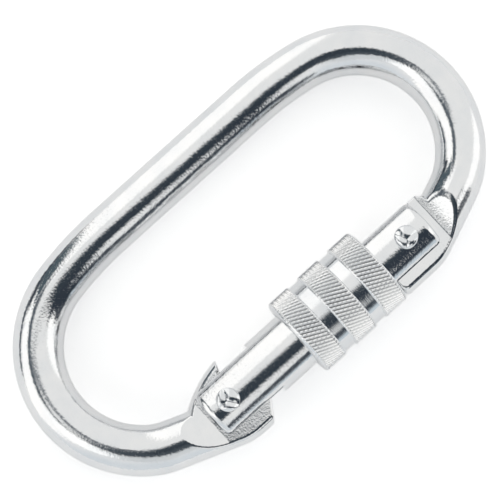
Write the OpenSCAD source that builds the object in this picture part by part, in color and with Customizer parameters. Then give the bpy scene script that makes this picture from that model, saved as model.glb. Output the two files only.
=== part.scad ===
// Screwgate carabiner: a steel oval with a forked gate that a threaded sleeve locks shut.
// Millimetres. X runs from the hinge to the latch, Y towards the closed side, Z through the thickness.
// The origin is the middle of the outline, halfway through the rod.

/* [Oval] */
// Length over the two round ends
overall_length = 108; // [102:1:116]
// Diameter of the rod
rod_d = 10; // [9:0.5:11]
// Distance between the axis of the closed side and the axis of the gate
axis_spread = 40.8; // [38:0.2:46]
// Bend radius where the closed side begins to curve, on the rod's axis
shoulder_r = 72; // [60:1:90]
// Angle through which the shoulder bends
shoulder_angle = 10.5; // [6:0.5:13]
// Bend radius of the tighter corners on the gate side, on the rod's axis
corner_r = 15.5; // [14:0.5:20]
// Angle at which the round end passes into the corner
corner_angle = 45; // [42:0.5:50]
// Length of the straight stretches between two bends
link_len = 0.6; // [0.5:0.1:2]

/* [Forged ends] */
// Slope of the straight stretch that runs down to each forged end
flank_slope = 21; // [18:0.5:24]
// Outline radius where the flank turns parallel to the gate
flare_r = 13; // [10:0.5:16]
// Thickness of the flattened ends
flat_t = 6; // [5.2:0.1:6.2]
// Radius of the hollow slopes between the flats and the round rod
facet_r = 12; // [9:0.5:20]

/* [Hinge tongue] */
// Length of the hollow slope at the hinge
hinge_facet_run = 5.2; // [4:0.2:7]
// Distance from the hinge pin back to the slope
hinge_flat_back = 5.4; // [5.2:0.1:7]
// Reach of the outer wing from the gate's axis
wing_reach = 9.2; // [8.6:0.1:10.5]
// How far the wing's end passes the hinge pin at the gate's surface
wing_root = 6.4; // [5.4:0.1:6.8]
// How far the wing's tip passes the hinge pin
wing_tip = 3.6; // [2.6:0.1:5]
// Reach of the inner fin from the gate's axis
fin_reach = 7.7; // [6.8:0.1:8.5]
// How far the fin's tip passes the hinge pin
fin_tip = 3.2; // [2.6:0.1:3.8]
// How far the fin's undercut root passes the hinge pin
fin_root = 2.2; // [1.6:0.1:2.4]
// Outline radius of the fin
fin_r = 25; // [20:1:32]
// Slope of the fin's edge at its tip
fin_slope = 6.5; // [4:0.5:10]
// Radius of the tongue's nose, which the spring plunger rides on
cam_r = 6; // [5.6:0.1:6.4]
// Offset of the nose's centre from the hinge pin, which gives the closing torque
cam_lift = 2; // [1.2:0.1:2.4]

/* [Latch claw] */
// Length of the hollow slope at the latch
latch_facet_run = 4.9; // [4:0.1:7]
// Distance from the latch pin back to the slope
latch_flat_back = 6.9; // [6.4:0.1:8]
// Reach of the claw's back from the gate's axis
claw_reach = 8.5; // [8:0.1:9.2]
// Distance from the latch pin to the claw's shoulder, which stops the sleeve
claw_shoulder = 7; // [6.4:0.1:7.6]
// Length of the claw's finger past the shoulder, which the sleeve covers
finger_len = 2.7; // [2:0.1:3]
// Height of the finger's top above the gate's axis
finger_top = 4; // [3.4:0.1:4.4]
// Height of the claw's heel above the gate's axis
heel_top = 5; // [4.4:0.1:5.4]
// Length of the heel past the end of the gate
heel_len = 2; // [1.4:0.1:2.6]
// Rounding of the claw's outer corner beside the sleeve
claw_corner = 1.2; // [0.6:0.1:1.6]
// Width of the mouth that the latch pin drops through
mouth_w = 4.7; // [4.6:0.1:5]
// How far each side of the mouth flares open at the top
mouth_flare = 0.9; // [0.5:0.1:1.2]

/* [Pins] */
// Distance between the hinge pin and the latch pin
pin_spacing = 46.4; // [44:0.4:48]
// Diameter of both pins
pin_d = 4; // [3.4:0.1:4.2]
// Diameter of the peened heads
head_d = 4.8; // [4.4:0.1:5.2]
// How far the heads stand out of the gate
head_h = 0.95; // [0.6:0.05:1.2]

/* [Gate] */
// Diameter of the gate
gate_d = 12.1; // [11.8:0.1:12.6]
// Width of the slots in the gate's ends
slot_w = 6.5; // [6.4:0.1:7]
// How far the gate runs past the hinge pin
hinge_cheek = 4.8; // [4.2:0.1:4.9]
// How far the gate runs past the latch pin
latch_cheek = 5.2; // [4.6:0.1:5.8]
// Depth of the hinge slot from the hinge pin
hinge_slot = 10.5; // [10.2:0.1:12]
// Depth of the latch slot from the latch pin
latch_slot = 12; // [11.4:0.1:12.4]
// Radius of the disc cutter that mills the slots
cutter_r = 16; // [12:1:20]
// Rounding of the gate's end edges
gate_round = 1.2; // [0.8:0.1:1.6]
// How far the threaded band stands out of the gate
thread_rise = 0.35; // [0.3:0.05:0.45]
// Length of the threaded band
thread_len = 14; // [11:0.5:15]
// How far the hinge end of the thread lies from the middle of the gate
thread_start = 2.4; // [1:0.1:3]

/* [Sleeve] */
// Wall of the sleeve, from the clearance over the thread to the knurl
sleeve_wall = 2.25; // [1.8:0.05:2.6]
// Width of each knurled band
band_w = 5.4; // [4.8:0.05:5.6]
// Width of the plain grooves between the bands
groove_w = 2.55; // [2:0.05:2.8]
// Depth of the plain grooves
groove_depth = 0.45; // [0.3:0.05:0.8]
// Number of knurled bands
bands = 3; // [2:1:3]
// Rounding of the sleeve's hinge end
sleeve_round = 1; // [0.4:0.1:1.4]
// Chamfer at the sleeve's latch end and at the grooves
band_chamfer = 0.4; // [0.2:0.05:0.5]

/* [Closing spring] */
// Diameter of the plunger
plunger_d = 5.4; // [5:0.1:5.6]
// Length of the plunger's barrel
plunger_len = 9; // [8:0.5:10]
// Length of the spring between the plunger and the end of its bore
spring_len = 16; // [12:0.5:17]
// Outer diameter of the spring
spring_d = 4.9; // [4.4:0.1:5.2]
// Diameter of the spring's wire
wire_d = 0.8; // [0.5:0.05:0.9]
// Number of turns in the spring
spring_turns = 9; // [6:1:11]

/* [Fits] */
// Radial running clearance of the hinge pin in the tongue
pin_clear = 0.05; // [0.02:0.01:0.1]
// Radial clearance of the sleeve over the thread
thread_clear = 0.08; // [0.03:0.01:0.1]
// Radial clearance of the plunger in its bore
bore_clear = 0.1; // [0.05:0.01:0.2]
// Gap between faces that rest against each other
seat_gap = 0.06; // [0.03:0.01:0.1]
// Gap between the sleeve's end and the claw's shoulder
stop_gap = 0.3; // [0.1:0.05:0.5]

/* [Hidden] */
$fn = 96;
steel = [0.79, 0.8, 0.82];
knurled_steel = [0.7, 0.71, 0.73];
spring_steel = [0.5, 0.51, 0.53];
rod_r = rod_d / 2;
flat_z = flat_t / 2;
gate_r = gate_d / 2;
thread_r = gate_r + thread_rise;
slot_z = slot_w / 2;
far = 40;

// Both outline limits lie the same distance from the origin
gate_y = (wing_reach - axis_spread - rod_r) / 2;
spine_y = gate_y + axis_spread;
hinge_x = -pin_spacing / 2;
latch_x = pin_spacing / 2;

// The round end's radius closes the outline between the shoulder and the corner
shoulder_drop = shoulder_r * (1 - cos(shoulder_angle)) + link_len * sin(shoulder_angle);
corner_rise = corner_r * (1 - cos(corner_angle)) + link_len * sin(corner_angle);
end_r = (axis_spread - shoulder_drop - corner_rise) / (cos(shoulder_angle) + cos(corner_angle));
end_c = [overall_length / 2 - rod_r - end_r, gate_y + corner_rise + end_r * cos(corner_angle)];

// Points on the rod's axis where each bend starts or ends, from the closed side round to the flank
shoulder_end = end_c + end_r * [sin(shoulder_angle), cos(shoulder_angle)]
    + link_len * [-cos(shoulder_angle), sin(shoulder_angle)];
shoulder_c = shoulder_end - shoulder_r * [sin(shoulder_angle), cos(shoulder_angle)];
end_start = end_c + end_r * [sin(shoulder_angle), cos(shoulder_angle)];
end_stop = end_c + end_r * [sin(corner_angle), -cos(corner_angle)];
corner_start = end_stop - link_len * [cos(corner_angle), sin(corner_angle)];
corner_c = corner_start + corner_r * [-sin(corner_angle), cos(corner_angle)];
flank_start = corner_c + corner_r * [sin(flank_slope), -cos(flank_slope)];
flare_path_r = flare_r - rod_r;

// Straight stretches run this far into the bends, a hair thinner so that no faces coincide
lap = 0.2;
hair = 0.06;

sleeve_r = thread_r + thread_clear + sleeve_wall;
sleeve_len = bands * band_w + (bands - 1) * groove_w;
sleeve_x = latch_x - claw_shoulder - stop_gap - sleeve_len;
nose_x = hinge_x + cam_r;
plunger_x = nose_x + seat_gap;
plunger_bore_r = plunger_d / 2 + bore_clear;
spring_x = plunger_x + plunger_len + seat_gap;
bore_end_x = spring_x + spring_len + seat_gap;

// One bent stretch of the rod, in the plane of the outline
module rod_bend(centre, r, from, sweep) {
    translate([centre.x, centre.y, 0])
        rotate([0, 0, from])
            rotate_extrude(angle = sweep)
                translate([r, 0])
                    circle(d = rod_d);
}

// One straight stretch of the rod, lapping into the bends at its ends
module rod_run(start, end) {
    way = end - start;
    translate([start.x, start.y, 0])
        rotate([0, 0, atan2(way.y, way.x)])
            translate([-lap, 0, 0])
                rotate([0, 90, 0])
                    cylinder(d = rod_d - hair, h = norm(way) + 2 * lap);
}

// A plate in the outline's plane, as thick as the flattened ends
module plate(thickness) {
    linear_extrude(height = thickness, center = true)
        children();
}

// Shapes modelled along Z are laid along the gate's axis
module along_gate(x = 0) {
    translate([x, gate_y, 0])
        rotate([0, 90, 0])
            children();
}

// Half of the oval, from the closed side to where the corner meets the flank
module half_oval() {
    rod_bend(shoulder_c, shoulder_r, 90 - shoulder_angle, shoulder_angle);
    rod_run(shoulder_end, end_start);
    rod_bend(end_c, end_r, corner_angle - 90, 180 - corner_angle - shoulder_angle);
    rod_run(end_stop, corner_start);
    rod_bend(corner_c, corner_r, flank_slope - 90, corner_angle - flank_slope);
}

// The rod runs down the flank, turns parallel to the gate and ends at x = stop
module flank(reach, stop) {
    path_y = gate_y - reach + rod_r;
    drop = flank_start.y - path_y - flare_path_r * (1 - cos(flank_slope));
    flank_end = flank_start - drop / sin(flank_slope) * [cos(flank_slope), sin(flank_slope)];
    flare_c = flank_end + flare_path_r * [-sin(flank_slope), cos(flank_slope)];
    rod_run(flank_start, flank_end);
    rod_bend(flare_c, flare_path_r, -90, flank_slope);
    rod_run([flare_c.x, path_y], [stop + lap, path_y]);
}

// Inner fin of the hinge tongue: a bent rib that leans away from the gate
module fin() {
    tip = [hinge_x + fin_tip, gate_y + fin_reach];
    centre = tip + fin_r * [sin(fin_slope), -cos(fin_slope)];
    rise = 29;
    intersection() {
        rod_bend(centre, fin_r - rod_r, 90, fin_slope + rise);
        plate(flat_t) square(4 * far, center = true);
    }
}

// Outline that the hinge tongue is trimmed to, seen from above with the hinge pin at the origin
module tongue_outline() {
    fin_lean = (fin_tip - fin_root) / (fin_reach - gate_r + 1);
    root_y = gate_r - 1;
    cam_top = 25;
    cam_corner = [cam_r * cos(cam_top), cam_lift + cam_r * sin(cam_top)];
    bore_edge = plunger_bore_r + seat_gap;
    polygon([
        [-far, far / 2], [fin_root + (far / 2 - root_y) * fin_lean, far / 2],
        [fin_root, root_y], cam_corner, [0, cam_lift - 1], [-far, cam_lift - 1]
    ]);
    intersection() {
        translate([0, cam_lift]) circle(r = cam_r);
        polygon([[0, cam_lift - 1], [far, cam_lift - 1], [far, cam_lift + far * tan(cam_top)], [0, cam_lift]]);
    }
    polygon([
        [-far, cam_lift], [cam_r, cam_lift], [cam_r, -bore_edge], [wing_root, -gate_r + 0.8],
        [wing_tip, -wing_reach], [wing_tip, -far / 2], [-far, -far / 2]
    ]);
}

// Flattened hinge end of the rod: wing outside the gate, fin inside it and the nose between its cheeks
module hinge_end() {
    difference() {
        intersection() {
            union() {
                mirror([1, 0, 0]) flank(wing_reach, -hinge_x - cam_r - 2);
                fin();
            }
            translate([hinge_x, gate_y, 0]) plate(2 * rod_d) tongue_outline();
        }
        translate([hinge_x, gate_y, -far]) cylinder(r = pin_d / 2 + pin_clear, h = 2 * far);
        translate([hinge_x + fin_root, gate_y + gate_r - 1, -far]) cylinder(d = 0.9, h = 2 * far);
    }
}

// Claw seen from above with the latch pin at the origin: heel, mouth side and finger
module claw_outline() {
    finger_x = -claw_shoulder - finger_len;
    finger_base = -gate_r + 1;
    heel_end = latch_cheek + heel_len;
    heel_fall = 1.2;
    polygon([
        [lap - claw_shoulder, finger_base], [finger_x, finger_base + 1.3 * finger_len],
        [finger_x, finger_top - 1.4], [finger_x + 1, finger_top],
        [pin_d, finger_top], [latch_cheek, heel_top], [heel_end, heel_top],
        [heel_end + heel_fall, heel_top - heel_fall], [heel_end + heel_fall, 0],
        [0, -claw_reach / 2], [lap - claw_shoulder, -claw_reach / 2]
    ]);
}

// What the rounding of an outer corner at the origin cuts off
module corner_cut(r) {
    difference() {
        translate([-r, -r]) square(2 * r);
        translate([r, r]) circle(r = r + lap);
    }
}

// Notch for the latch pin: a round seat under a slightly narrower mouth that flares open
module claw_notch() {
    seat_r = pin_d / 2 + 0.6;
    mouth_left = -mouth_w / 2 - 0.1;
    mouth_right = mouth_w / 2 - 0.1;
    over = finger_top + mouth_flare;
    translate([0, seat_r - pin_d / 2 - 2 * seat_gap]) circle(r = seat_r);
    polygon([
        [mouth_left, 0], [mouth_right, 0], [mouth_right, finger_top - mouth_flare],
        [mouth_right + 2 * mouth_flare, over], [mouth_left - 2 * mouth_flare, over],
        [mouth_left, finger_top - mouth_flare]
    ]);
}

// Flattened latch end of the rod: a claw that hooks round the latch pin
module latch_end() {
    difference() {
        union() {
            flank(claw_reach, latch_x - claw_shoulder);
            translate([latch_x, gate_y, 0]) plate(flat_t) claw_outline();
        }
        translate([latch_x, gate_y, 0]) plate(2 * rod_d) claw_notch();
        translate([latch_x - claw_shoulder, gate_y - claw_reach, 0]) plate(2 * rod_d) corner_cut(claw_corner);
    }
}

// Cut above a flattened end: flat towards the gate, then a hollow slope up to the rod's full height
module facet_cut(run) {
    chord = norm([run, rod_r - flat_z]);
    lift = sqrt(facet_r * facet_r - chord * chord / 4);
    centre = [run / 2, (flat_z + rod_r) / 2] + lift / chord * [flat_z - rod_r, run];
    rotate([90, 0, 0]) {
        linear_extrude(height = far, center = true) {
            translate([-far, flat_z]) square([far, far / 2]);
            intersection() {
                translate(centre) circle(r = facet_r);
                square([far, far]);
            }
        }
    }
}

// The same cut on both faces of one forged end
module facet_cuts(run) {
    facet_cut(run);
    mirror([0, 0, 1]) facet_cut(run);
}

// One forged rod: closed side, two round ends, hinge tongue and latch claw
module body() {
    color(steel)
        difference() {
            union() {
                rod_run([-shoulder_c.x, spine_y], [shoulder_c.x, spine_y]);
                half_oval();
                mirror([1, 0, 0]) half_oval();
                hinge_end();
                latch_end();
            }
            translate([latch_x + latch_flat_back, gate_y, 0]) facet_cuts(latch_facet_run);
            translate([hinge_x - hinge_flat_back, gate_y, 0])
                mirror([1, 0, 0]) facet_cuts(hinge_facet_run);
        }
}

// Slot through a fork, from the cutter's round track at the origin outwards along X
module fork_slot() {
    plate(slot_w) {
        translate([cutter_r, 0]) circle(r = cutter_r);
        translate([cutter_r, -far]) square(2 * far);
    }
}

// Forked bar with a threaded band and a blind bore for the closing spring
module gate() {
    low = hinge_x - hinge_cheek;
    high = latch_x + latch_cheek;
    band_low = -thread_start;
    band_high = thread_len - thread_start;
    turned = concat(
        [[0, low]],
        [for (a = [-90:22.5:0]) [gate_r - gate_round + gate_round * cos(a), low + gate_round * (1 + sin(a))]],
        [[gate_r, band_low - thread_rise], [thread_r, band_low]],
        [[thread_r, band_high], [gate_r, band_high + thread_rise]],
        [for (a = [0:22.5:90]) [gate_r - gate_round + gate_round * cos(a), high - gate_round * (1 - sin(a))]],
        [[0, high]]
    );
    color(steel)
        difference() {
            along_gate() rotate_extrude() polygon(turned);
            translate([hinge_x + hinge_slot, gate_y, 0]) mirror([1, 0, 0]) fork_slot();
            translate([latch_x - latch_slot, gate_y, 0]) fork_slot();
            along_gate(hinge_x) cylinder(r = plunger_bore_r, h = bore_end_x - hinge_x);
            translate([hinge_x, gate_y, -far]) cylinder(d = pin_d, h = 2 * far);
            translate([latch_x, gate_y, -far]) cylinder(d = pin_d, h = 2 * far);
        }
}

// Pin with a peened head on each end, seated on the round of the gate
module peened_pin(x) {
    head_edge = sqrt(gate_r * gate_r - head_d * head_d / 4);
    cap = gate_r + head_h - head_edge;
    dome_r = (head_d * head_d / 4 + cap * cap) / (2 * cap);
    color(steel)
        translate([x, gate_y, 0]) {
            difference() {
                union() {
                    translate([0, 0, gate_r + head_h - dome_r]) sphere(r = dome_r);
                    translate([0, 0, dome_r - gate_r - head_h]) sphere(r = dome_r);
                }
                rotate([0, 90, 0]) cylinder(r = gate_r, h = far, center = true);
            }
            cylinder(d = pin_d, h = 2 * head_edge + 0.6, center = true);
        }
}

module hinge_rivet() {
    peened_pin(hinge_x);
}

module latch_pin() {
    peened_pin(latch_x);
}

// Edge profile of one knurled band, as [radius, distance from the sleeve's hinge end]
function band_profile(i) = let(start = i * (band_w + groove_w), r = sleeve_round) [
    if (i == 0) for (a = [0:22.5:90]) [sleeve_r - r + r * sin(a), r - r * cos(a)],
    if (i > 0) each [[sleeve_r - band_chamfer, start], [sleeve_r, start + band_chamfer]],
    [sleeve_r, start + band_w - band_chamfer],
    [sleeve_r - band_chamfer, start + band_w]
];

// Screw sleeve: knurled bands with plain grooves between them, bored to run on the gate's thread
module locking_sleeve() {
    bore_r = thread_r + thread_clear;
    groove_r = sleeve_r - groove_depth;
    profile = concat(
        [[bore_r + band_chamfer, 0]],
        [for (i = [0:bands - 1]) each concat(
            band_profile(i),
            i < bands - 1 ? [
                [groove_r, i * (band_w + groove_w) + band_w],
                [groove_r, (i + 1) * (band_w + groove_w)]
            ] : []
        )],
        [[bore_r + band_chamfer, sleeve_len], [bore_r, sleeve_len - band_chamfer], [bore_r, band_chamfer]]
    );
    color(knurled_steel) along_gate(sleeve_x) rotate_extrude() polygon(profile);
}

// Flat-faced plunger with a spigot that centres the spring
module spring_plunger() {
    r = plunger_d / 2;
    ease = 0.4;
    spigot_r = spring_d / 2 - wire_d - 2 * bore_clear;
    spigot_len = 2;
    color(spring_steel)
        along_gate(plunger_x)
            rotate_extrude()
                polygon([
                    [0, 0], [r - ease, 0], [r, ease], [r, plunger_len], [spigot_r, plunger_len],
                    [spigot_r, plunger_len + spigot_len], [0, plunger_len + spigot_len]
                ]);
}

// Compression spring with closed end turns, swept round by round along its helix
module return_spring() {
    wire_r = wire_d / 2;
    coil_r = (spring_d - wire_d) / 2;
    steps = 14;
    sides = 6;
    close_pitch = 1.04 * wire_d;
    open_pitch = (spring_len - wire_d - 2 * close_pitch) / (spring_turns - 2);
    // Height of the wire's axis after a number of turns
    function rise(t) = wire_r + (t <= 1 ? t * close_pitch
        : t >= spring_turns - 1 ? spring_len - wire_d - (spring_turns - t) * close_pitch
        : close_pitch + (t - 1) * open_pitch);
    rings = [for (i = [0:spring_turns * steps]) i / steps];
    points = [
        for (t = rings) for (s = [0:sides - 1])
            let (a = 360 * t, b = 360 * s / sides, r = coil_r + wire_r * cos(b))
                [r * cos(a), r * sin(a), rise(t) + wire_r * sin(b)]
    ];
    last = len(points) - sides;
    skin = [
        for (i = [0:len(rings) - 2]) for (s = [0:sides - 1])
            let (a = i * sides, n = (s + 1) % sides)
                [a + s, a + n, a + sides + n, a + sides + s]
    ];
    ends = [[for (s = [sides - 1:-1:0]) s], [for (s = [0:sides - 1]) last + s]];
    color(spring_steel) along_gate(spring_x) polyhedron(points = points, faces = concat(skin, ends), convexity = 10);
}

body();
gate();
hinge_rivet();
latch_pin();
locking_sleeve();
spring_plunger();
return_spring();
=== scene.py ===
import math
import bpy
import bmesh
import numpy as np
from mathutils import Matrix, Vector


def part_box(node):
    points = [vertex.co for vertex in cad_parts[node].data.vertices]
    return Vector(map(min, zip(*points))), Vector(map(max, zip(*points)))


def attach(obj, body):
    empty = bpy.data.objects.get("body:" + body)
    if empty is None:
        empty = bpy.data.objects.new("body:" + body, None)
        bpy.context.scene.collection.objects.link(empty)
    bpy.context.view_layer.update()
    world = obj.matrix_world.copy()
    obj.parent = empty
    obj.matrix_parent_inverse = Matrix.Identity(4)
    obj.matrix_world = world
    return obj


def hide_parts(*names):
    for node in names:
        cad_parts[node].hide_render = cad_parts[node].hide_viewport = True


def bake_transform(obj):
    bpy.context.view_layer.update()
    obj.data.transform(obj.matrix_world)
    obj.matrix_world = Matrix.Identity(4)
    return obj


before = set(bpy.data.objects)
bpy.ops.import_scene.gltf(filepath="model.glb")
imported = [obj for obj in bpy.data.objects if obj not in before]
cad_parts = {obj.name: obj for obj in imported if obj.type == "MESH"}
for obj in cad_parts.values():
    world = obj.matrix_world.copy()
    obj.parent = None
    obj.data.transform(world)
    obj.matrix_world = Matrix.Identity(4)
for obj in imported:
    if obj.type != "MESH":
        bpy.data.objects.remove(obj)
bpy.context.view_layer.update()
print("frame loaded:", sorted(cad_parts))

mm = 0.001
weld = 0.002 * mm                           # points closer than this are one

# The camera looks down on the resting carabiner, turned so that the hinge is at the lower left
cameraPlan = {
    "aim": (-0.34 * mm, 0.81 * mm, 0.0),    # the model's point in the middle of the picture
    "distance": 317 * mm,
    "leanX": 3.7,                           # degrees that the camera stands off towards the hinge
    "leanY": 6.0,                           # degrees that it stands off towards the gate
    "turn": 42.45,                          # degrees from the picture's right edge to the model's X
    "pixelsPerMm": 5.08,
    "picture": 500,
    "nearest": 10 * mm,                     # what is closer doesn't show
}


def makeCamera(plan):
    leanX, leanY, turn = (math.radians(plan[name]) for name in ("leanX", "leanY", "turn"))
    toCamera = Vector((-math.tan(leanX), -math.tan(leanY), 1)).normalized()
    right = Vector((math.cos(turn), -math.sin(turn), 0))
    right = (right - right.dot(toCamera) * toCamera).normalized()
    up = toCamera.cross(right)
    matrix = Matrix((right, up, toCamera)).transposed().to_4x4()
    matrix.translation = Vector(plan["aim"]) + plan["distance"] * toCamera
    data = bpy.data.cameras.new("camera")
    data.sensor_fit = "HORIZONTAL"
    halfWidth = plan["picture"] / 2 / plan["pixelsPerMm"] * mm
    data.angle = 2 * math.atan(halfWidth / plan["distance"])
    data.clip_start = plan["nearest"]
    camera = bpy.data.objects.new("camera", data)
    camera.matrix_world = matrix
    bpy.context.collection.objects.link(camera)
    bpy.context.scene.camera = camera


makeCamera(cameraPlan)
bpy.context.scene.view_settings.view_transform = "Standard"
print("camera placed")


# Small helpers for node trees
def addNode(tree, kind, inputs=(), **settings):
    node = tree.nodes.new(kind)
    for key, value in settings.items():
        setattr(node, key, value)
    for key, value in dict(inputs).items():
        if isinstance(value, bpy.types.NodeSocket):
            tree.links.new(value, node.inputs[key])
        else:
            node.inputs[key].default_value = value
    return node


def nodeOut(tree, kind, inputs=(), **settings):
    return addNode(tree, kind, inputs, **settings).outputs[0]


def maths(tree, operation, *values):
    return nodeOut(tree, "ShaderNodeMath", dict(enumerate(values)), operation=operation)


def blendColour(tree, factor, low, high):
    return addNode(tree, "ShaderNodeMix", {0: factor, 6: low, 7: high}, data_type="RGBA").outputs[2]


def mapRange(tree, value, fromMin, fromMax, toMin, toMax, kind="LINEAR"):
    inputs = {0: value, 1: fromMin, 2: fromMax, 3: toMin, 4: toMax}
    return nodeOut(tree, "ShaderNodeMapRange", inputs, interpolation_type=kind)


def turnLevel(tree, vector, degrees):
    inputs = {"Vector": vector, "Angle": math.radians(degrees)}
    return nodeOut(tree, "ShaderNodeVectorRotate", inputs, rotation_type="Z_AXIS")


def noise(tree, place, scale, detail):
    inputs = {"Vector": place, "Scale": scale, "Detail": detail}
    return addNode(tree, "ShaderNodeTexNoise", inputs).outputs["Fac"]


def bump(tree, height, distance, normal=None):
    node = addNode(tree, "ShaderNodeBump", {"Height": height, "Strength": 1.0, "Distance": distance})
    if normal:
        tree.links.new(normal, node.inputs["Normal"])
    return node.outputs[0]


# The studio round the carabiner: a light grey tent with soft boxes and dark gaps between them.
# A patch's place is in degrees from straight up, to the picture's right and to its top.
studioPlan = {
    "tent": (0.92, 0.92, 0.91),
    "below": (0.76, 0.80, 0.83),            # the tent's darker side, towards the picture's foot
    "fall": (-36, -75),                     # where it starts and ends
    "boxes": [                              # centre, half size, turn, soft edge, colour
        ((-39, 59), (25, 42), -3, 4, (1.23, 1.215, 1.19)),
        ((-50, 10), (18, 59), -16, 4, (1.23, 1.215, 1.19)),
        ((66, 4), (14, 33), -34, 4, (1.23, 1.22, 1.20)),
    ],
    "gaps": [
        ((-65, 42), (8, 20), -1, 4, (0.06, 0.07, 0.085)),
        ((-83, 10), (8, 25), -9, 4, (0.08, 0.10, 0.12)),
        ((-49, 35), (17, 8), -51, 2, (0.09, 0.12, 0.14)),
        ((-33, 5), (7, 17), 2, 4, (0.11, 0.13, 0.15)),
        ((-17, -1), (13, 3), 0, 3, (0.16, 0.18, 0.20)),
        ((-28.5, -13), (8, 2.5), -40, 2, (0.10, 0.115, 0.13)),
        ((4, -21.5), (21, 13), -39, 4, (0.07, 0.085, 0.10)),
        ((32, -20), (36, 10), -17, 3, (0.04, 0.052, 0.066)),
        ((63, -40), (12, 25), -22, 4, (0.07, 0.08, 0.095)),
        ((52, -33), (10, 32), 49, 3, (0.035, 0.045, 0.06)),
        ((-7, -40), (29, 10), -25, 4, (0.72, 0.74, 0.75)),
        ((89, -61), (27, 15), -1, 5, (0.64, 0.71, 0.76)),
    ],
    "fill": [                               # a small light for the slope beside the latch
        ((-30, -31), (15, 13), 0, 3, (1.25, 1.24, 1.22)),
    ],
}


def makeStudio(plan):
    world = bpy.data.worlds.new("studio")
    bpy.context.scene.world = world
    world.use_nodes = True
    tree = world.node_tree
    background = tree.nodes["Background"]
    direction = addNode(tree, "ShaderNodeTexCoord").outputs["Generated"]
    turned = turnLevel(tree, direction, cameraPlan["turn"])
    parts = addNode(tree, "ShaderNodeSeparateXYZ", {0: turned}).outputs
    fromUp = maths(tree, "MULTIPLY", maths(tree, "ARCCOSINE", parts["Z"]), math.degrees(1))
    level = nodeOut(tree, "ShaderNodeCombineXYZ", {0: parts["X"], 1: parts["Y"]})
    unit = nodeOut(tree, "ShaderNodeVectorMath", {0: level}, operation="NORMALIZE")
    place = nodeOut(tree, "ShaderNodeVectorMath", {0: unit, "Scale": fromUp}, operation="SCALE")
    height = addNode(tree, "ShaderNodeSeparateXYZ", {0: place}).outputs["Y"]
    shade = mapRange(tree, height, *plan["fall"], 0, 1, "SMOOTHSTEP")
    colour = blendColour(tree, shade, (*plan["tent"], 1), (*plan["below"], 1))
    for centre, half, turn, soft, patch in plan["boxes"] + plan["gaps"] + plan["fill"]:
        inputs = {0: place, 1: (-centre[0], -centre[1], 0)}
        moved = nodeOut(tree, "ShaderNodeVectorMath", inputs, operation="ADD")
        moved = turnLevel(tree, moved, -turn)
        away = nodeOut(tree, "ShaderNodeVectorMath", {0: moved}, operation="ABSOLUTE")
        sides = addNode(tree, "ShaderNodeSeparateXYZ", {0: away}).outputs
        across = [mapRange(tree, side, size + soft, size - soft, 0, 1, "SMOOTHSTEP")
                  for side, size in zip(sides, half)]
        colour = blendColour(tree, maths(tree, "MULTIPLY", *across), colour, (*patch, 1))
    seen = addNode(tree, "ShaderNodeLightPath").outputs["Is Camera Ray"]
    colour = blendColour(tree, seen, colour, (1, 1, 1, 1))
    tree.links.new(colour, background.inputs["Color"])


makeStudio(studioPlan)
print("studio lit")

# The carabiner lies on its spine and on the fatter sleeve, so the floor leans a little
floorPlan = {
    "halfSize": 1.2,                        # metres
    "under": 0.05,                          # mm below the carabiner
    "colour": (0.93, 0.93, 0.93, 1),
    "rough": 0.9,
    "glow": 0.43,                           # lifts it to white for the camera
    "mirroredGlow": 0.18,                   # and a little in the steel's reflections
}


def makeFloor(plan):
    sleeveLow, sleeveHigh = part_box("locking_sleeve")
    rodLow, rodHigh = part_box("body")
    sleeveY = (sleeveLow[1] + sleeveHigh[1]) / 2
    spineY = rodHigh[1] - (rodHigh[2] - rodLow[2]) / 2
    slope = (sleeveLow[2] - rodLow[2]) / (sleeveY - spineY)
    size, top = plan["halfSize"], rodLow[2] - plan["under"] * mm
    square = ((-size, -size), (size, -size), (size, size), (-size, size))
    corners = [(x, y, top + slope * (y - spineY)) for x, y in square]
    mesh = bpy.data.meshes.new("floor")
    mesh.from_pydata(corners, [], [(0, 1, 2, 3)])
    floor = bpy.data.objects.new("floor", mesh)
    bpy.context.collection.objects.link(floor)
    material = bpy.data.materials.new("paleFloor")
    material.use_nodes = True
    tree = material.node_tree
    bsdf = tree.nodes["Principled BSDF"]
    bsdf.inputs["Base Color"].default_value = plan["colour"]
    bsdf.inputs["Roughness"].default_value = plan["rough"]
    path = addNode(tree, "ShaderNodeLightPath").outputs
    mirrored = maths(tree, "MAXIMUM", path["Is Glossy Ray"], path["Is Transmission Ray"])
    mirrored = maths(tree, "MULTIPLY", mirrored, plan["mirroredGlow"])
    seen = maths(tree, "MULTIPLY", path["Is Camera Ray"], plan["glow"])
    tree.links.new(maths(tree, "MAXIMUM", seen, mirrored), bsdf.inputs["Emission Strength"])
    bsdf.inputs["Emission Color"].default_value = (1, 1, 1, 1)
    mesh.materials.append(material)


makeFloor(floorPlan)
print("floor laid")

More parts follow.
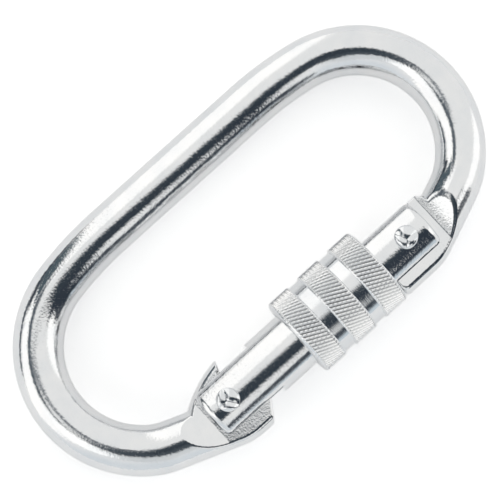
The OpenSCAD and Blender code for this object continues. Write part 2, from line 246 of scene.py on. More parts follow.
# Bright zinc plating over steel: colours, roughness from bright to dull spots, and sizes in mm
zincPlan = {
    "forgedRod": {
        "colour": (0.83, 0.835, 0.84), "stain": (0.78, 0.795, 0.81), "rough": (0.045, 0.2),
        "grain": 0.42, "grainBump": 0.020, "waveBump": 0.03,
    },
    "turnedGate": {
        "colour": (0.83, 0.835, 0.84), "stain": (0.78, 0.795, 0.81), "rough": (0.05, 0.2),
        "grain": 0.40, "grainBump": 0.016, "waveBump": 0.02, "ring": 0.003, "softEdge": 0.3,
    },
    "knurledSteel": {
        "colour": (0.9, 0.9, 0.9), "stain": (0.82, 0.83, 0.84), "rough": (0.2, 0.34),
        # the last number darkens the stain colour into the painted shade in the knurl's cuts
        "grain": 0.2, "grainBump": 0.008, "waveBump": 0.0, "cutShade": 0.85,
    },
    "turnedGroove": {
        "colour": (0.82, 0.83, 0.84), "stain": (0.76, 0.78, 0.8), "rough": (0.08, 0.26),
        "grain": 0.25, "grainBump": 0.004, "waveBump": 0.0, "ring": 0.005,
    },
    "hammeredHead": {
        "colour": (0.84, 0.85, 0.86), "stain": (0.74, 0.76, 0.78), "rough": (0.10, 0.3),
        "grain": 0.3, "grainBump": 0.01, "waveBump": 0.02,
    },
    "innerSteel": {
        "colour": (0.62, 0.62, 0.63), "stain": (0.5, 0.5, 0.5), "rough": (0.25, 0.4),
        "grain": 0.3, "grainBump": 0.006, "waveBump": 0.0,
    },
}
patternPlan = {
    "patchScale": 180.0,                    # wide patches, to the metre
    "stained": (0.35, 0.65),                # patch levels from clean to stained
    "patchShare": 0.25,                     # of the patches in the dull spots, beside the grain
    "dull": (0.5, 0.68),                    # levels from bright to dull
    "cutShadeDepth": (0.1, 0.34),                   # mm of cut depth over which painted shade sets in, from none to full
    "ringWidth": 0.16,                      # mm from one turning mark to the next
    "ringLength": 20.0,                     # marks to the metre round the axis
}


def zincSteel(name):
    plan, pattern = zincPlan[name], patternPlan
    material = bpy.data.materials.new(name)
    material.use_nodes = True
    tree = material.node_tree
    bsdf = tree.nodes["Principled BSDF"]
    bsdf.inputs["Metallic"].default_value = 1
    place = addNode(tree, "ShaderNodeTexCoord").outputs["Object"]
    patches = noise(tree, place, pattern["patchScale"], 3.0)
    grain = noise(tree, place, 1 / (plan["grain"] * mm), 2.0)
    stained = mapRange(tree, patches, *pattern["stained"], 0, 1)
    colour = blendColour(tree, stained, (*plan["colour"], 1), (*plan["stain"], 1))
    if plan.get("cutShade"):                  # the cuts get painted shade, darker the deeper they are
        depth = addNode(tree, "ShaderNodeAttribute", attribute_name="depth").outputs["Fac"]
        cutShadeColour = (*(part * plan["cutShade"] for part in plan["stain"]), 1)
        colour = blendColour(tree, mapRange(tree, depth, *pattern["cutShadeDepth"], 0, 1), colour, cutShadeColour)
    tree.links.new(colour, bsdf.inputs["Base Color"])
    share = pattern["patchShare"]
    mixed = [maths(tree, "MULTIPLY", patches, share), maths(tree, "MULTIPLY", grain, 1 - share)]
    dull = maths(tree, "ADD", *mixed)
    tree.links.new(mapRange(tree, dull, *pattern["dull"], *plan["rough"]), bsdf.inputs["Roughness"])
    normal = None
    if plan.get("softEdge"):
        normal = nodeOut(tree, "ShaderNodeBevel", {"Radius": plan["softEdge"] * mm}, samples=8)
    normal = bump(tree, patches, plan["waveBump"] * mm, normal)
    normal = bump(tree, grain, plan["grainBump"] * mm, normal)
    if plan.get("ring"):                    # fine marks that the lathe left
        marksPerMetre = (1 / (pattern["ringWidth"] * mm), pattern["ringLength"], pattern["ringLength"])
        along = nodeOut(tree, "ShaderNodeMapping", {"Vector": place, "Scale": marksPerMetre})
        normal = bump(tree, noise(tree, along, 1.0, 2.0), plan["ring"] * mm, normal)
    tree.links.new(normal, bsdf.inputs["Normal"])
    return material


forgedRod = zincSteel("forgedRod")
turnedGate = zincSteel("turnedGate")
knurledSteel = zincSteel("knurledSteel")
turnedGroove = zincSteel("turnedGroove")
hammeredHead = zincSteel("hammeredHead")
innerSteel = zincSteel("innerSteel")
print("finishes mixed")


# Small helpers for meshes and pieces
def shapedMesh(piece):
    shape = piece.evaluated_get(bpy.context.evaluated_depsgraph_get())
    return bpy.data.meshes.new_from_object(shape)


def pointsOf(mesh):
    points = np.zeros(len(mesh.vertices) * 3)
    mesh.vertices.foreach_get("co", points)
    return points.reshape(-1, 3) / mm


def takeShape(piece):
    mesh = shapedMesh(piece)
    piece.modifiers.clear()
    piece.data = mesh
    mesh.name = piece.name


def newPiece(name, work, finish):
    mesh = bpy.data.meshes.new(name)
    work.to_mesh(mesh)
    work.free()
    mesh.materials.append(finish)
    piece = bpy.data.objects.new(name, mesh)
    bpy.context.collection.objects.link(piece)
    return piece


def finishPiece(piece, body, replaced, sharp):
    mesh = piece.data
    work = bmesh.new()
    work.from_mesh(mesh)
    bmesh.ops.recalc_face_normals(work, faces=work.faces)
    work.to_mesh(mesh)
    work.free()
    mesh.shade_smooth()
    mesh.set_sharp_from_angle(angle=math.radians(sharp))
    if body:
        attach(piece, body)
    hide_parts(replaced)
    print(piece.name, "has", len(mesh.polygons), "faces")


def shadeRound(mesh, point, axis, alike=0.995):
    # turned faces, which face away from the axis, take their normals from it
    normals = [(0, 0, 0)] * len(mesh.loops)
    for face in mesh.polygons:
        away = face.center - point
        away = (away - away.dot(axis) * axis).normalized()
        if face.normal.dot(away) > alike:
            for k in face.loop_indices:
                out = mesh.vertices[mesh.loops[k].vertex_index].co - point
                normals[k] = (out - out.dot(axis) * axis).normalized()
    mesh.normals_split_custom_set(normals)


# The forged body, whose edges are soft as a drop forging's are. It is measured as one smooth form:
# the distance from each point to the bent rod and its two flattened ends. All lengths are in mm.
bodyPlan = {
    "rod": 5.0,                             # radius
    "overall": 108.0,
    "spineY": 22.5,
    "gateY": -18.3,                         # the gate's axis
    "hingeX": -23.2,
    "latchX": 23.2,
    "shoulder": (72.0, 10.5),               # radius and degrees of the bend from the spine to an end
    "corner": (15.5, 45.0),                 # and of the one from an end to its flank
    "link": 0.6,                            # straight run between two bends
    "flankSlope": 21.0,                     # degrees
    "flare": 8.0,                           # radius of the bend at the flank's foot
    "rodPieces": 6,                         # pieces of the path that stay round, before the flank
    "flat": 3.0,                            # half of the flattened ends' thickness
    "wingReach": 9.2,                       # how far the outer wing reaches from the gate's axis
    "wingStop": 15.2,                       # and the X of its path's end
    "clawReach": 8.5,
    "clawStop": 16.2,
    "clawCorner": 1.2,
    "hingeFacet": (5.4, 5.2, 12.0),         # the hollow slope's start, run and radius
    "latchFacet": (6.9, 4.9, 30.0),
    "fin": ((-17.17, -35.44), 20.0, 90.0, 125.5),       # the inner fin's arc: centre, radius and turns
    "tongue": (                             # outlines, from the middle of the pin
        (-40, 20), (7.84, 20), (2.2, 5.05), (5.44, 4.54), (5.64, 4.05), (5.85, 3.35), (5.96, 2.7),
        (6, 2), (6, -2.86), (6.4, -5.25), (3.6, -9.2), (3.6, -20), (-40, -20),
    ),
    "claw": (
        (-6.8, -5.05), (-9.7, -1.54), (-9.7, 2.6), (-8.7, 4), (4, 4), (5.2, 5), (7.2, 5),
        (8.4, 3.8), (8.4, 0), (0, -4.25), (-6.8, -4.25),
    ),
    "mouth": (
        (-2.45, 0), (2.25, 0), (2.25, 3.1), (4.05, 4.9), (4.05, 6), (-4.25, 6), (-4.25, 4.9),
        (-2.45, 3.1),
    ),
    "seat": ((0, 0.48), 2.6),               # centre and radius
    "rootCut": ((2.2, 5.05), 0.45),
    "hole": 2.05,                           # radius
    "softEdge": 0.4,
    "softSide": 0.3,
    "endX": 8.0,                            # nearer to the middle there is only the rod
    "endY": -2.0,
    "cutY": -3.0,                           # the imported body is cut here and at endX
    "spare": 1.0,                           # what an end has over, until it has settled
    "snap": 0.001,                          # points this near to the last cut are on it
    "voxel": 0.2,                           # of the fine mesh that settles on the form
    "probe": 0.01,                          # step for the slope of the form
    "rounds": 4,                            # of settling on it
    "leastSteep": 0.3,                      # keeps the moves small where the form hardly changes
    "mostMove": 0.3,                        # in one round
    "columns": 96,                          # round the rod
    "runStep": 3,                           # between rings on straight runs, and on bends
    "bendStep": 1.1,
    "fewestRings": 4,                       # in a bend
}


def bodyPath(plan, side, reach, stop):
    # the rod's axis from the spine's middle to an end, as straight runs and bends. Side 1 is the latch's.
    rod, link = plan["rod"], plan["link"]
    shoulderR, shoulderTurn = plan["shoulder"][0], math.radians(plan["shoulder"][1])
    cornerR, cornerTurn = plan["corner"][0], math.radians(plan["corner"][1])
    slope, flare = math.radians(plan["flankSlope"]), plan["flare"]
    drop = shoulderR * (1 - math.cos(shoulderTurn)) + link * math.sin(shoulderTurn)
    rise = cornerR * (1 - math.cos(cornerTurn)) + link * math.sin(cornerTurn)
    spread = plan["spineY"] - plan["gateY"]
    endR = (spread - drop - rise) / (math.cos(shoulderTurn) + math.cos(cornerTurn))
    turned = lambda angle: np.array((math.sin(angle), math.cos(angle)))
    endC = np.array((plan["overall"] / 2 - rod - endR, plan["gateY"] + rise + endR * math.cos(cornerTurn)))
    endStart = endC + endR * turned(shoulderTurn)
    shoulderEnd = endStart + link * np.array((-math.cos(shoulderTurn), math.sin(shoulderTurn)))
    shoulderC = shoulderEnd - shoulderR * turned(shoulderTurn)
    endStop = endC + endR * np.array((math.sin(cornerTurn), -math.cos(cornerTurn)))
    cornerStart = endStop - link * np.array((math.cos(cornerTurn), math.sin(cornerTurn)))
    cornerC = cornerStart + cornerR * np.array((-math.sin(cornerTurn), math.cos(cornerTurn)))
    flankStart = cornerC + cornerR * np.array((math.sin(slope), -math.cos(slope)))
    pathY = plan["gateY"] - reach + rod
    fall = flankStart[1] - pathY - flare * (1 - math.cos(slope))
    flankEnd = flankStart - fall / math.sin(slope) * np.array((math.cos(slope), math.sin(slope)))
    flareC = flankEnd + flare * np.array((-math.sin(slope), math.cos(slope)))
    quarter, half = math.radians(90), math.radians(180)
    path = [
        ("run", np.array((0, plan["spineY"])), np.array((shoulderC[0], plan["spineY"]))),
        ("bend", shoulderC, shoulderR, quarter, quarter - shoulderTurn),
        ("run", shoulderEnd, endStart),
        ("bend", endC, endR, quarter - shoulderTurn, cornerTurn - quarter),
        ("run", endStop, cornerStart),
        ("bend", cornerC, cornerR, cornerTurn - quarter, slope - quarter),
        ("run", flankStart, flankEnd),
        ("bend", flareC, flare, slope - quarter, -quarter),
        ("run", np.array((flareC[0], pathY)), np.array((stop, pathY))),
    ]
    if side == 1:
        return path
    flip = np.array((-1, 1))
    return [(kind, a * flip, b * flip if kind == "run" else b, *(half - turn for turn in turns))
            for kind, a, b, *turns in path]


def pathDistance(path, points):
    nearest = np.full(len(points), 1e9)
    for kind, a, b, *turns in path:
        if kind == "run":
            way = b - a
            share = np.clip(((points - a) @ way) / (way @ way), 0, 1)
            away = np.linalg.norm(points - a - share[:, None] * way, axis=1)
        else:
            middle, swing = (turns[0] + turns[1]) / 2, abs(turns[0] - turns[1]) / 2
            out = points - a
            angle = np.arctan2(out[:, 1], out[:, 0]) - middle
            angle = (angle + math.pi) % (2 * math.pi) - math.pi
            angle = np.clip(angle, -swing, swing) + middle
            near = a + b * np.stack((np.cos(angle), np.sin(angle)), 1)
            away = np.linalg.norm(points - near, axis=1)
        nearest = np.minimum(nearest, away)
    return nearest


def outlineDistance(outline, points):
    # distance to a closed outline, less than zero inside it
    corners = np.array(outline, float)
    nearest = np.full(len(points), 1e9)
    inside = np.zeros(len(points), bool)
    for a, b in zip(corners, np.roll(corners, -1, 0)):
        way = b - a
        share = np.clip(((points - a) @ way) / (way @ way), 0, 1)
        nearest = np.minimum(nearest, np.linalg.norm(points - a - share[:, None] * way, axis=1))
        if a[1] != b[1]:
            spans = (a[1] > points[:, 1]) != (b[1] > points[:, 1])
            inside ^= spans & (points[:, 0] < a[0] + (points[:, 1] - a[1]) / (b[1] - a[1]) * (b[0] - a[0]))
    return np.where(inside, -nearest, nearest)


def softMeet(a, b, r):
    # what two forms share, with the edge between them rounded to radius r
    return np.minimum(-r, np.maximum(a, b)) + np.hypot(np.maximum(a + r, 0), np.maximum(b + r, 0))


def facetDistance(plan, back, run, hollow, along, height):
    # under the flat, and past its end under the hollow slope that rises to the rod
    flat, rod = plan["flat"], plan["rod"]
    chord = math.hypot(run, rod - flat)
    lift = math.sqrt(hollow * hollow - chord * chord / 4)
    centre = (run / 2 + lift / chord * (flat - rod), (flat + rod) / 2 + lift / chord * run)
    past = along - back
    slope = hollow - np.hypot(past - centre[0], height - centre[1])
    return np.where(past < 0, height - flat, slope)


def bodyDistance(plan, paths, points):
    level, height = points[:, :2], np.abs(points[:, 2])
    bar = np.hypot(pathDistance(paths[1] + paths[-1], level), height) - plan["rod"]
    result = bar.copy()
    low = points[:, 1] < plan["endY"]
    latch = (points[:, 0] > plan["endX"]) & low
    if latch.any():
        p, z, here = level[latch], height[latch], level[latch] - (plan["latchX"], plan["gateY"])
        form = softMeet(bar[latch], plan["clawStop"] - p[:, 0], plan["clawCorner"])
        form = np.minimum(form, outlineDistance(plan["claw"], here))
        seat, radius = plan["seat"]
        hollow = np.linalg.norm(here - seat, axis=1) - radius
        notch = np.minimum(hollow, outlineDistance(plan["mouth"], here))
        form = softMeet(form, -notch, plan["softSide"])
        facet = facetDistance(plan, *plan["latchFacet"], here[:, 0], z)
        result[latch] = softMeet(form, facet, plan["softEdge"])
    hinge = (points[:, 0] < -plan["endX"]) & low
    if hinge.any():
        p, z, here = level[hinge], height[hinge], level[hinge] - (plan["hingeX"], plan["gateY"])
        centre, radius, start, stop = plan["fin"]
        fin = [("bend", np.array(centre), radius, math.radians(start), math.radians(stop))]
        form = np.minimum(bar[hinge], np.hypot(pathDistance(fin, p), z) - plan["rod"])
        form = softMeet(form, outlineDistance(plan["tongue"], here), plan["softSide"])
        cut, radius = plan["rootCut"]
        form = np.maximum(form, radius - np.linalg.norm(here - cut, axis=1))
        facet = facetDistance(plan, *plan["hingeFacet"], -here[:, 0], z)
        form = softMeet(form, facet, plan["softEdge"])
        result[hinge] = np.maximum(form, plan["hole"] - np.linalg.norm(here, axis=1))
    return result


def bodyGradient(plan, paths, points):
    steps = np.eye(3) * plan["probe"]
    sides = [bodyDistance(plan, paths, points + step) - bodyDistance(plan, paths, points - step)
             for step in steps]
    return np.stack(sides, 1) / (2 * plan["probe"])


def settle(plan, paths, points):
    for _ in range(plan["rounds"]):
        gradient = bodyGradient(plan, paths, points)
        steep = np.maximum((gradient ** 2).sum(1), plan["leastSteep"])
        move = (bodyDistance(plan, paths, points) / steep)[:, None] * gradient
        points = points - np.clip(move, -plan["mostMove"], plan["mostMove"])
    return points


def forgedEnd(plan, paths, side):
    # one flattened end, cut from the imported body, meshed finely and settled on the smooth form
    flankStart = paths[side][plan["rodPieces"]][1]
    slope = math.radians(plan["flankSlope"])
    outward = Vector((side * math.cos(slope), math.sin(slope), 0))
    place = Vector((*flankStart, 0)) * mm
    cuts = (
        ((0, plan["cutY"] * mm, 0), (0, 1, 0)),
        ((side * plan["endX"] * mm, 0, 0), (-side, 0, 0)),
        (place + outward * plan["spare"] * mm, outward),
    )
    work = bmesh.new()
    work.from_mesh(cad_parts["body"].data)
    bmesh.ops.remove_doubles(work, verts=work.verts, dist=weld)
    for point, normal in cuts:
        everything = work.verts[:] + work.edges[:] + work.faces[:]
        bmesh.ops.bisect_plane(work, geom=everything, plane_co=point, plane_no=normal, clear_outer=True)
        rim = [edge for edge in work.edges if len(edge.link_faces) == 1]
        bmesh.ops.holes_fill(work, edges=rim, sides=0)
    bmesh.ops.triangulate(work, faces=work.faces)
    mesh = bpy.data.meshes.new("forgedEnd")
    work.to_mesh(mesh)
    work.free()
    piece = bpy.data.objects.new("forgedEnd", mesh)
    bpy.context.collection.objects.link(piece)
    remesh = piece.modifiers.new("remesh", "REMESH")
    remesh.mode = "VOXEL"
    remesh.voxel_size = plan["voxel"] * mm
    fine = shapedMesh(piece)
    bpy.data.objects.remove(piece)
    points = settle(plan, paths, pointsOf(fine))
    fine.vertices.foreach_set("co", (points * mm).ravel())
    fine.update()
    work = bmesh.new()
    work.from_mesh(fine)
    everything = work.verts[:] + work.edges[:] + work.faces[:]
    bmesh.ops.bisect_plane(work, geom=everything, dist=plan["snap"] * mm, plane_co=place,
                           plane_no=outward, clear_outer=True)
    work.to_mesh(fine)
    work.free()
    print("forged end", side, "has", len(fine.vertices), "points")
    return fine


def rodSpots(plan, path):
    # places along the round rod and the way it heads there
    spots = []
    for kind, a, b, *turns in path[:plan["rodPieces"]]:
        if kind == "run":
            heading = (b - a) / np.linalg.norm(b - a)
            count = max(1, int(np.linalg.norm(b - a) / plan["runStep"]))
            spots += [(a + (b - a) * i / count, heading) for i in range(count)]
        else:
            count = max(plan["fewestRings"], int(b * abs(turns[0] - turns[1]) / plan["bendStep"]))
            sign = 1 if turns[1] > turns[0] else -1
            for i in range(count):
                angle = turns[0] + (turns[1] - turns[0]) * i / count
                out = np.array((math.cos(angle), math.sin(angle)))
                spots.append((a + b * out, sign * np.array((-out[1], out[0]))))
    return spots


def rodRings(plan, paths):
    # the round rod as rings, from the hinge's flank round by the spine to the latch's
    toLatch, toHinge = rodSpots(plan, paths[1]), rodSpots(plan, paths[-1])
    spots = [(spot, -heading) for spot, heading in toHinge[:0:-1]] + toLatch
    turns = np.radians(np.arange(plan["columns"]) * 360 / plan["columns"])
    rings = []
    for centre, heading in spots:
        across = np.array((-heading[1], heading[0]))
        level = centre + plan["rod"] * np.cos(turns)[:, None] * across
        rings.append(np.column_stack((level, plan["rod"] * np.sin(turns))))
    return rings


def makeBody(plan):
    paths = {
        1: bodyPath(plan, 1, plan["clawReach"], plan["clawStop"]),
        -1: bodyPath(plan, -1, plan["wingReach"], plan["wingStop"]),
    }
    work = bmesh.new()
    for side in (1, -1):
        work.from_mesh(forgedEnd(plan, paths, side))
    openEdges = [edge for edge in work.edges if len(edge.link_faces) == 1]
    rings = [[work.verts.new(point * mm) for point in ring] for ring in rodRings(plan, paths)]
    columns = plan["columns"]
    for a, b in zip(rings, rings[1:]):
        for i in range(columns):
            k = (i + 1) % columns
            work.faces.new((a[i], a[k], b[k], b[i]))
    for ring in (rings[0], rings[-1]):
        rim = [work.edges.get((ring[i], ring[(i + 1) % columns])) for i in range(columns)]
        sign = 1 if ring[0].co.x > 0 else -1
        other = [edge for edge in openEdges if edge.verts[0].co.x * sign > 0]
        bmesh.ops.bridge_loops(work, edges=rim + other)
    bmesh.ops.triangulate(work, faces=[face for face in work.faces if len(face.verts) > 4])
    bmesh.ops.recalc_face_normals(work, faces=work.faces)
    piece = newPiece("forgedBody", work, forgedRod)
    finishPiece(piece, "frame", "body", 180)
    points = pointsOf(piece.data)
    normals = bodyGradient(plan, paths, points)
    normals /= np.linalg.norm(normals, axis=1)[:, None]
    piece.data.normals_split_custom_set_from_vertices([tuple(normal) for normal in normals])
    print("body off its form by", np.abs(bodyDistance(plan, paths, points)).max(), "mm at most")


makeBody(bodyPlan)

# The screw sleeve: three knurled bands with turned grooves between them, made as one tooth that is
# repeated round. All lengths are in mm.
sleevePlan = {
    "teeth": 64,
    "columns": 8,                           # across one tooth
    "radius": 8.73,
    "bore": 6.48,
    "band": 5.4,
    "groove": 2.55,
    "grooveDepth": 0.45,
    "bands": 3,
    "chamfer": 0.4,
    "edge": 0.22,                           # what the knurl leaves of each chamfer
    "roundEnd": 1.0,                        # radius of the first band's rounded edge
    "roundTurns": (0, 15, 30, 45),          # degrees of its plain rows
    "knurlStart": 0.6,                      # where the knurl starts on it
    "mainCut": (0.36, 0.26, 0.14, 0.04, 0),     # depths from the middle of a cut to that of a tooth
    "crossCut": (0.13, 0.05, 0, 0, 0),      # the same for the shallow cuts that cross them
    "edgeShare": 0.25,                      # of the depth, in a band's first and last rows
    "rowStep": 0.2,
}


def sleeveRows(plan):
    # each row is its place along the sleeve, its radius, and the share of the knurl's depth there
    radius, bore, chamfer, edge = plan["radius"], plan["bore"], plan["chamfer"], plan["edge"]
    bands, arc, grooveRadius = plan["bands"], plan["roundEnd"], plan["radius"] - plan["grooveDepth"]
    length = bands * plan["band"] + (bands - 1) * plan["groove"]
    rows = [(0, bore + chamfer, 0)]
    for i in range(bands):
        start = i * (plan["band"] + plan["groove"])
        end = start + plan["band"]
        first, last = start + edge, end - edge
        if i == 0:
            turns = [math.radians(turn) for turn in plan["roundTurns"]]
            rows += [(start + arc - arc * math.cos(a), radius - arc + arc * math.sin(a), 0) for a in turns]
            first = start + plan["knurlStart"]
        else:
            rows += [(start, radius - edge, 0), (start + edge / 2, radius - edge / 2, 0)]
        count = round((last - first) / plan["rowStep"])
        for j in range(count + 1):
            along = first + j * (last - first) / count
            inside = max(0, arc - along) if i == 0 else 0
            share = plan["edgeShare"] if j in (0, count) else 1
            rows.append((along, radius - arc + math.sqrt(arc * arc - inside * inside), share))
        rows += [(end - edge / 2, radius - edge / 2, 0), (end, radius - edge, 0)]
        if i < bands - 1:
            rows += [(end, grooveRadius, 0), (end + plan["groove"], grooveRadius, 0)]
    return rows + [(length, bore + chamfer, 0), (length - chamfer, bore, 0), (chamfer, bore, 0)]


def sleeveTooth(plan):
    rows, columns, line = sleeveRows(plan), plan["columns"], 0
    step = math.radians(360) / plan["teeth"] / columns
    fromCut = lambda k: min(k % columns, -k % columns)
    corners, depths, faces, turned, lines = [], [], [], [], []
    for along, radius, share in rows:
        line = line + 1 if share else 0
        lines.append(line)
        for i in range(columns + 1):
            depth = share * max(plan["mainCut"][fromCut(i - line)], plan["crossCut"][fromCut(i + line)])
            turn = i * step
            r = (radius - depth) * mm
            corners.append((along * mm, r * math.cos(turn), r * math.sin(turn)))
            depths.append(depth)
    for j in range(len(rows)):
        k = (j + 1) % len(rows)
        knurled = rows[j][2] > 0 and rows[k][2] > 0
        for i in range(columns):
            a, b = j * (columns + 1) + i, k * (columns + 1) + i
            if not knurled:
                faces.append((a, b, b + 1, a + 1))
            elif (i - lines[j]) % 2 == 0:
                faces += [(a, b, b + 1), (a, b + 1, a + 1)]
            else:
                faces += [(a, b, a + 1), (b, b + 1, a + 1)]
            turned += [not knurled] * (len(faces) - len(turned))
    mesh = bpy.data.meshes.new("lockingSleeve")
    mesh.from_pydata(corners, [], faces)
    mesh.attributes.new("depth", "FLOAT", "POINT").data.foreach_set("value", depths)
    mesh.attributes.new("turned", "BOOLEAN", "FACE").data.foreach_set("value", turned)
    return mesh


def addSocket(tree, name, kind, inOut="INPUT"):
    return tree.interface.new_socket(name=name, in_out=inOut, socket_type="NodeSocket" + kind).identifier


def applyNodes(piece, tree, values):
    modifier = piece.modifiers.new("nodes", "NODES")
    modifier.node_group = tree
    for identifier, value in values.items():
        modifier[identifier] = value
    takeShape(piece)


def toothRing():
    tree = bpy.data.node_groups.new("toothRing", "GeometryNodeTree")
    names = {"tooth": "Geometry", "teeth": "Int", "place": "Vector", "weld": "Float",
             "knurled": "Material", "turned": "Material"}
    sockets = {name: addSocket(tree, name, kind) for name, kind in names.items()}
    addSocket(tree, "ring", "Geometry", "OUTPUT")
    given = tree.nodes.new("NodeGroupInput").outputs
    line = nodeOut(tree, "GeometryNodeMeshLine", {"Count": given["teeth"], "Offset": (0, 0, 0)})
    step = maths(tree, "DIVIDE", math.radians(360), given["teeth"])
    turn = maths(tree, "MULTIPLY", nodeOut(tree, "GeometryNodeInputIndex"), step)
    rotation = nodeOut(tree, "ShaderNodeCombineXYZ", {0: turn})
    inputs = {"Points": line, "Instance": given["tooth"], "Rotation": rotation}
    ring = nodeOut(tree, "GeometryNodeInstanceOnPoints", inputs)
    ring = nodeOut(tree, "GeometryNodeRealizeInstances", {0: ring})
    ring = nodeOut(tree, "GeometryNodeMergeByDistance", {"Geometry": ring, "Distance": given["weld"]})
    ring = nodeOut(tree, "GeometryNodeTransform", {"Geometry": ring, "Translation": given["place"]})
    ring = nodeOut(tree, "GeometryNodeSetMaterial", {"Geometry": ring, "Material": given["knurled"]})
    isTurned = nodeOut(tree, "GeometryNodeInputNamedAttribute", {"Name": "turned"}, data_type="BOOLEAN")
    inputs = {"Geometry": ring, "Selection": isTurned, "Material": given["turned"]}
    ring = nodeOut(tree, "GeometryNodeSetMaterial", inputs)
    tree.links.new(ring, tree.nodes.new("NodeGroupOutput").inputs[0])
    return tree, sockets


def makeSleeve(plan):
    low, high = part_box("locking_sleeve")
    piece = bpy.data.objects.new("lockingSleeve", sleeveTooth(plan))
    bpy.context.collection.objects.link(piece)
    tree, sockets = toothRing()
    place = (low[0], (low[1] + high[1]) / 2, 0)
    values = {"teeth": plan["teeth"], "place": place, "weld": weld, "knurled": knurledSteel,
              "turned": turnedGroove}
    applyNodes(piece, tree, {sockets[name]: value for name, value in values.items()})
    finishPiece(piece, "sleeve", "locking_sleeve", 28)


makeSleeve(sleevePlan)

# The pins' heads were struck into a few rounded lobes, which left creases between them
pinPlan = {
    "columns": 72,
    "rings": 18,
    "shank": 2.0,                           # radius in mm
    "head": 2.32,
    "crown": 0.95,                          # height of a head over the gate
    "sunk": 0.6,                            # what a head has inside the gate
    "fullness": 3.5,                        # of a head's edge, 2 for a round one
    "lobeRound": 2.6,                       # radius of a lobe's own crown
    "pins": {                               # lobes: direction in the picture, place off the middle, height
        "hinge_rivet": {
            "name": "hingeRivet", "lobes": ((50, 0.8, 0.95), (180, 1.25, 0.88), (-85, 1.2, 0.86)),
        },
        "latch_pin": {
            "name": "latchPin", "lobes": ((100, 0.7, 0.95), (-135, 1.3, 0.84), (-40, 1.3, 0.88)),
        },
    },
}


def pinHead(plan, lobes, x, y):
    reach = math.hypot(x, y) / plan["head"]
    heights = []
    for angle, offset, height in lobes:
        a = math.radians(angle - cameraPlan["turn"])
        away = math.hypot(x - offset * math.cos(a), y - offset * math.sin(a))
        heights.append(height - away * away / (2 * plan["lobeRound"]))
    return min(max(heights), plan["crown"] * math.sqrt(max(0, 1 - reach ** plan["fullness"])))


def makePin(plan, node, pin):
    low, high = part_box(node)
    middle = (low + high) / 2
    foot = high[2] / mm - plan["crown"]
    columns, rings, lobes = plan["columns"], plan["rings"], pin["lobes"]
    turns = [math.radians(360) * i / columns for i in range(columns)]
    circle = lambda radius: [(radius * math.cos(turn), radius * math.sin(turn)) for turn in turns]
    radii = [plan["head"] * math.sin(math.radians(90) * j / rings) for j in range(1, rings + 1)]
    levels = []                             # from the upper head's top to the lower one's
    for side in (1, -1):
        top = [(0, 0, side * (foot + pinHead(plan, lobes, 0, 0)))]
        half = [[(x, y, side * (foot + pinHead(plan, lobes, x, y))) for x, y in circle(r)] for r in radii]
        for part in ("head", "shank"):
            half.append([(x, y, side * (foot - plan["sunk"])) for x, y in circle(plan[part])])
        levels += ([top] + half)[::side]
    work, loops = bmesh.new(), []
    for level in levels:
        corners = [(middle[0] + x * mm, middle[1] + y * mm, z * mm) for x, y, z in level]
        loops.append([work.verts.new(corner) for corner in corners])
    for upper, lower in zip(loops, loops[1:]):
        for i in range(columns):
            k = (i + 1) % columns
            if len(upper) == 1:
                work.faces.new((upper[0], lower[i], lower[k]))
            elif len(lower) == 1:
                work.faces.new((upper[i], lower[0], upper[k]))
            else:
                work.faces.new((upper[i], lower[i], lower[k], upper[k]))
    finishPiece(newPiece(pin["name"], work, hammeredHead), "gate", node, 40)


for node, pin in pinPlan["pins"].items():
    makePin(pinPlan, node, pin)

# The gate's band carries a real thread, which shows when the sleeve is back
threadPlan = {
    "start": -2.1,                          # mm along the gate's axis, with the band from -2.4 to 11.6
    "end": 11.3,
    "pitch": 1.0,
    "radius": 6.4,
    "depth": 0.3,
    "halfWidth": 0.34,
    "over": 0.1,                            # of the cutter, outside the gate
    "runOut": 0.25,                         # how far the cut rises out at its ends
    "runOutTurns": 0.3,
    "steps": 60,                            # in one turn
}


def threadCutter(plan, centreY):
    turns = (plan["end"] - plan["start"]) / plan["pitch"]
    count = int(turns * plan["steps"])
    outer, wide = plan["radius"] + plan["over"], plan["halfWidth"] * (1 + plan["over"] / plan["depth"])
    section = ((plan["radius"] - plan["depth"], 0), (outer, wide), (outer, -wide))
    work = bmesh.new()
    loops = []
    for i in range(count + 1):
        turn = math.radians(360) * i / plan["steps"]
        runOut = plan["runOut"] * max(0, 1 - min(i, count - i) / (plan["steps"] * plan["runOutTurns"]))
        along = plan["start"] + plan["pitch"] * i / plan["steps"]
        corners = [((r + runOut) * mm, (along + dx) * mm) for r, dx in section]
        corners = [(x, centreY + r * math.cos(turn), r * math.sin(turn)) for r, x in corners]
        loops.append([work.verts.new(corner) for corner in corners])
    for a, b in zip(loops, loops[1:]):
        for k in range(3):
            m = (k + 1) % 3
            work.faces.new((a[k], a[m], b[m], b[k]))
    work.faces.new(loops[0])
    work.faces.new(loops[-1][::-1])
    bmesh.ops.recalc_face_normals(work, faces=work.faces)
    mesh = bpy.data.meshes.new("threadCutter")
    work.to_mesh(mesh)
    work.free()
    return mesh


def makeGate(plan):
    low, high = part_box("gate")
    centreY = (low[1] + high[1]) / 2
    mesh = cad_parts["gate"].data.copy()
    work = bmesh.new()
    work.from_mesh(mesh)
    bmesh.ops.remove_doubles(work, verts=work.verts, dist=weld)
    work.to_mesh(mesh)
    work.free()
    mesh.materials.clear()
    mesh.materials.append(turnedGate)
    piece = bpy.data.objects.new("turnedGate", mesh)
    cutter = bpy.data.objects.new("threadCutter", threadCutter(plan, centreY))
    for item in (piece, cutter):
        bpy.context.collection.objects.link(item)
    cut = piece.modifiers.new("thread", "BOOLEAN")
    cut.operation = "DIFFERENCE"
    cut.solver = "EXACT"
    cut.object = cutter
    takeShape(piece)
    bpy.data.objects.remove(cutter)
    finishPiece(piece, "gate", "gate", 25)
    shadeRound(piece.data, Vector((0, centreY, 0)), Vector((1, 0, 0)))


makeGate(threadPlan)
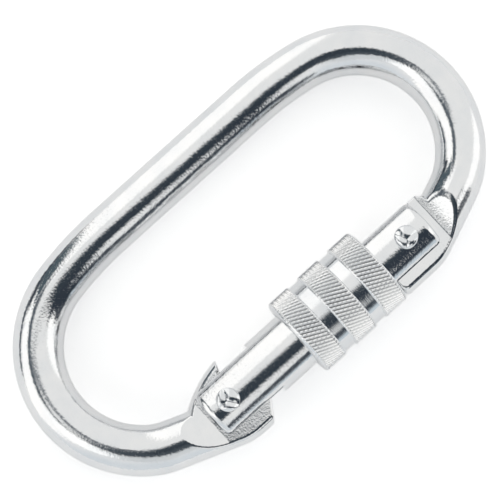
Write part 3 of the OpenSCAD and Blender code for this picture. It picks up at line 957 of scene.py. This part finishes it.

# The closing spring, coiled at one fixed length with its two end turns closer together
springPlan = {
    "turns": 9,
    "steps": 28,                            # in one turn
    "sides": 12,
    "wire": 0.8,                            # diameters, and all lengths in mm
    "outer": 4.9,
    "length": 16.0,
    "closePitch": 0.832,                    # of its two end turns
    "startX": -8.08,                        # its end at the plunger
    "gateY": -18.3,
}


def coiledWire():
    tree = bpy.data.node_groups.new("coiledWire", "GeometryNodeTree")
    names = {"turns": "Int", "steps": "Int", "sides": "Int", "wire": "Float", "coil": "Float",
             "length": "Float", "closePitch": "Float", "place": "Vector", "steel": "Material"}
    sockets = {name: addSocket(tree, name, kind) for name, kind in names.items()}
    addSocket(tree, "spring", "Geometry", "OUTPUT")
    given = tree.nodes.new("NodeGroupInput").outputs
    turns, closePitch, wire = given["turns"], given["closePitch"], given["wire"]
    count = maths(tree, "ADD", maths(tree, "MULTIPLY", turns, given["steps"]), 1)
    line = nodeOut(tree, "GeometryNodeCurvePrimitiveLine", {"Start": (0, 0, 0), "End": (1, 0, 0)})
    line = nodeOut(tree, "GeometryNodeResampleCurve", {"Curve": line, "Count": count}, mode="COUNT")
    turn = maths(tree, "DIVIDE", nodeOut(tree, "GeometryNodeInputIndex"), given["steps"])
    height = maths(tree, "SUBTRACT", given["length"], wire)
    openHeight = maths(tree, "SUBTRACT", height, maths(tree, "MULTIPLY", closePitch, 2))
    openPitch = maths(tree, "DIVIDE", openHeight, maths(tree, "SUBTRACT", turns, 2))
    firstTurn = maths(tree, "MULTIPLY", turn, closePitch)
    openTurns = maths(tree, "MULTIPLY", maths(tree, "SUBTRACT", turn, 1), openPitch)
    openTurns = maths(tree, "ADD", closePitch, openTurns)
    lastTurn = maths(tree, "MULTIPLY", maths(tree, "SUBTRACT", turns, turn), closePitch)
    lastTurn = maths(tree, "SUBTRACT", height, lastTurn)
    rise = maths(tree, "MINIMUM", maths(tree, "MAXIMUM", firstTurn, openTurns), lastTurn)
    rise = maths(tree, "ADD", rise, maths(tree, "MULTIPLY", wire, 0.5))
    angle = maths(tree, "MULTIPLY", turn, math.radians(360))
    across = maths(tree, "MULTIPLY", maths(tree, "SINE", angle, 0), given["coil"])
    below = maths(tree, "MULTIPLY", maths(tree, "COSINE", angle, 0), given["coil"])
    below = maths(tree, "MULTIPLY", below, -1)
    point = nodeOut(tree, "ShaderNodeCombineXYZ", {0: rise, 1: across, 2: below})
    inputs = {"Geometry": line, "Position": point, "Offset": given["place"]}
    helix = nodeOut(tree, "GeometryNodeSetPosition", inputs)
    inputs = {"Resolution": given["sides"], "Radius": maths(tree, "MULTIPLY", wire, 0.5)}
    section = nodeOut(tree, "GeometryNodeCurvePrimitiveCircle", inputs)
    inputs = {"Curve": helix, "Profile Curve": section, "Fill Caps": True}
    spring = nodeOut(tree, "GeometryNodeCurveToMesh", inputs)
    spring = nodeOut(tree, "GeometryNodeRealizeInstances", {0: spring})
    spring = nodeOut(tree, "GeometryNodeSetMaterial", {"Geometry": spring, "Material": given["steel"]})
    tree.links.new(spring, tree.nodes.new("NodeGroupOutput").inputs[0])
    return tree, sockets


def makeSpring(plan):
    piece = bpy.data.objects.new("returnSpring", bpy.data.meshes.new("returnSpring"))
    bpy.context.collection.objects.link(piece)
    tree, sockets = coiledWire()
    startX, gateY, length = plan["startX"] * mm, plan["gateY"] * mm, plan["length"] * mm
    values = {
        "turns": plan["turns"], "steps": plan["steps"], "sides": plan["sides"], "wire": plan["wire"] * mm,
        "coil": (plan["outer"] - plan["wire"]) / 2 * mm, "length": length,
        "closePitch": plan["closePitch"] * mm, "place": (startX, gateY, 0), "steel": innerSteel,
    }
    applyNodes(piece, tree, {sockets[name]: value for name, value in values.items()})
    finishPiece(piece, None, "return_spring", 32)
    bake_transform(piece)


makeSpring(springPlan)

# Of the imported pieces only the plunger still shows
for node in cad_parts.values():
    node.data.materials.clear()
    node.data.materials.append(innerSteel)
print("plunger finished")
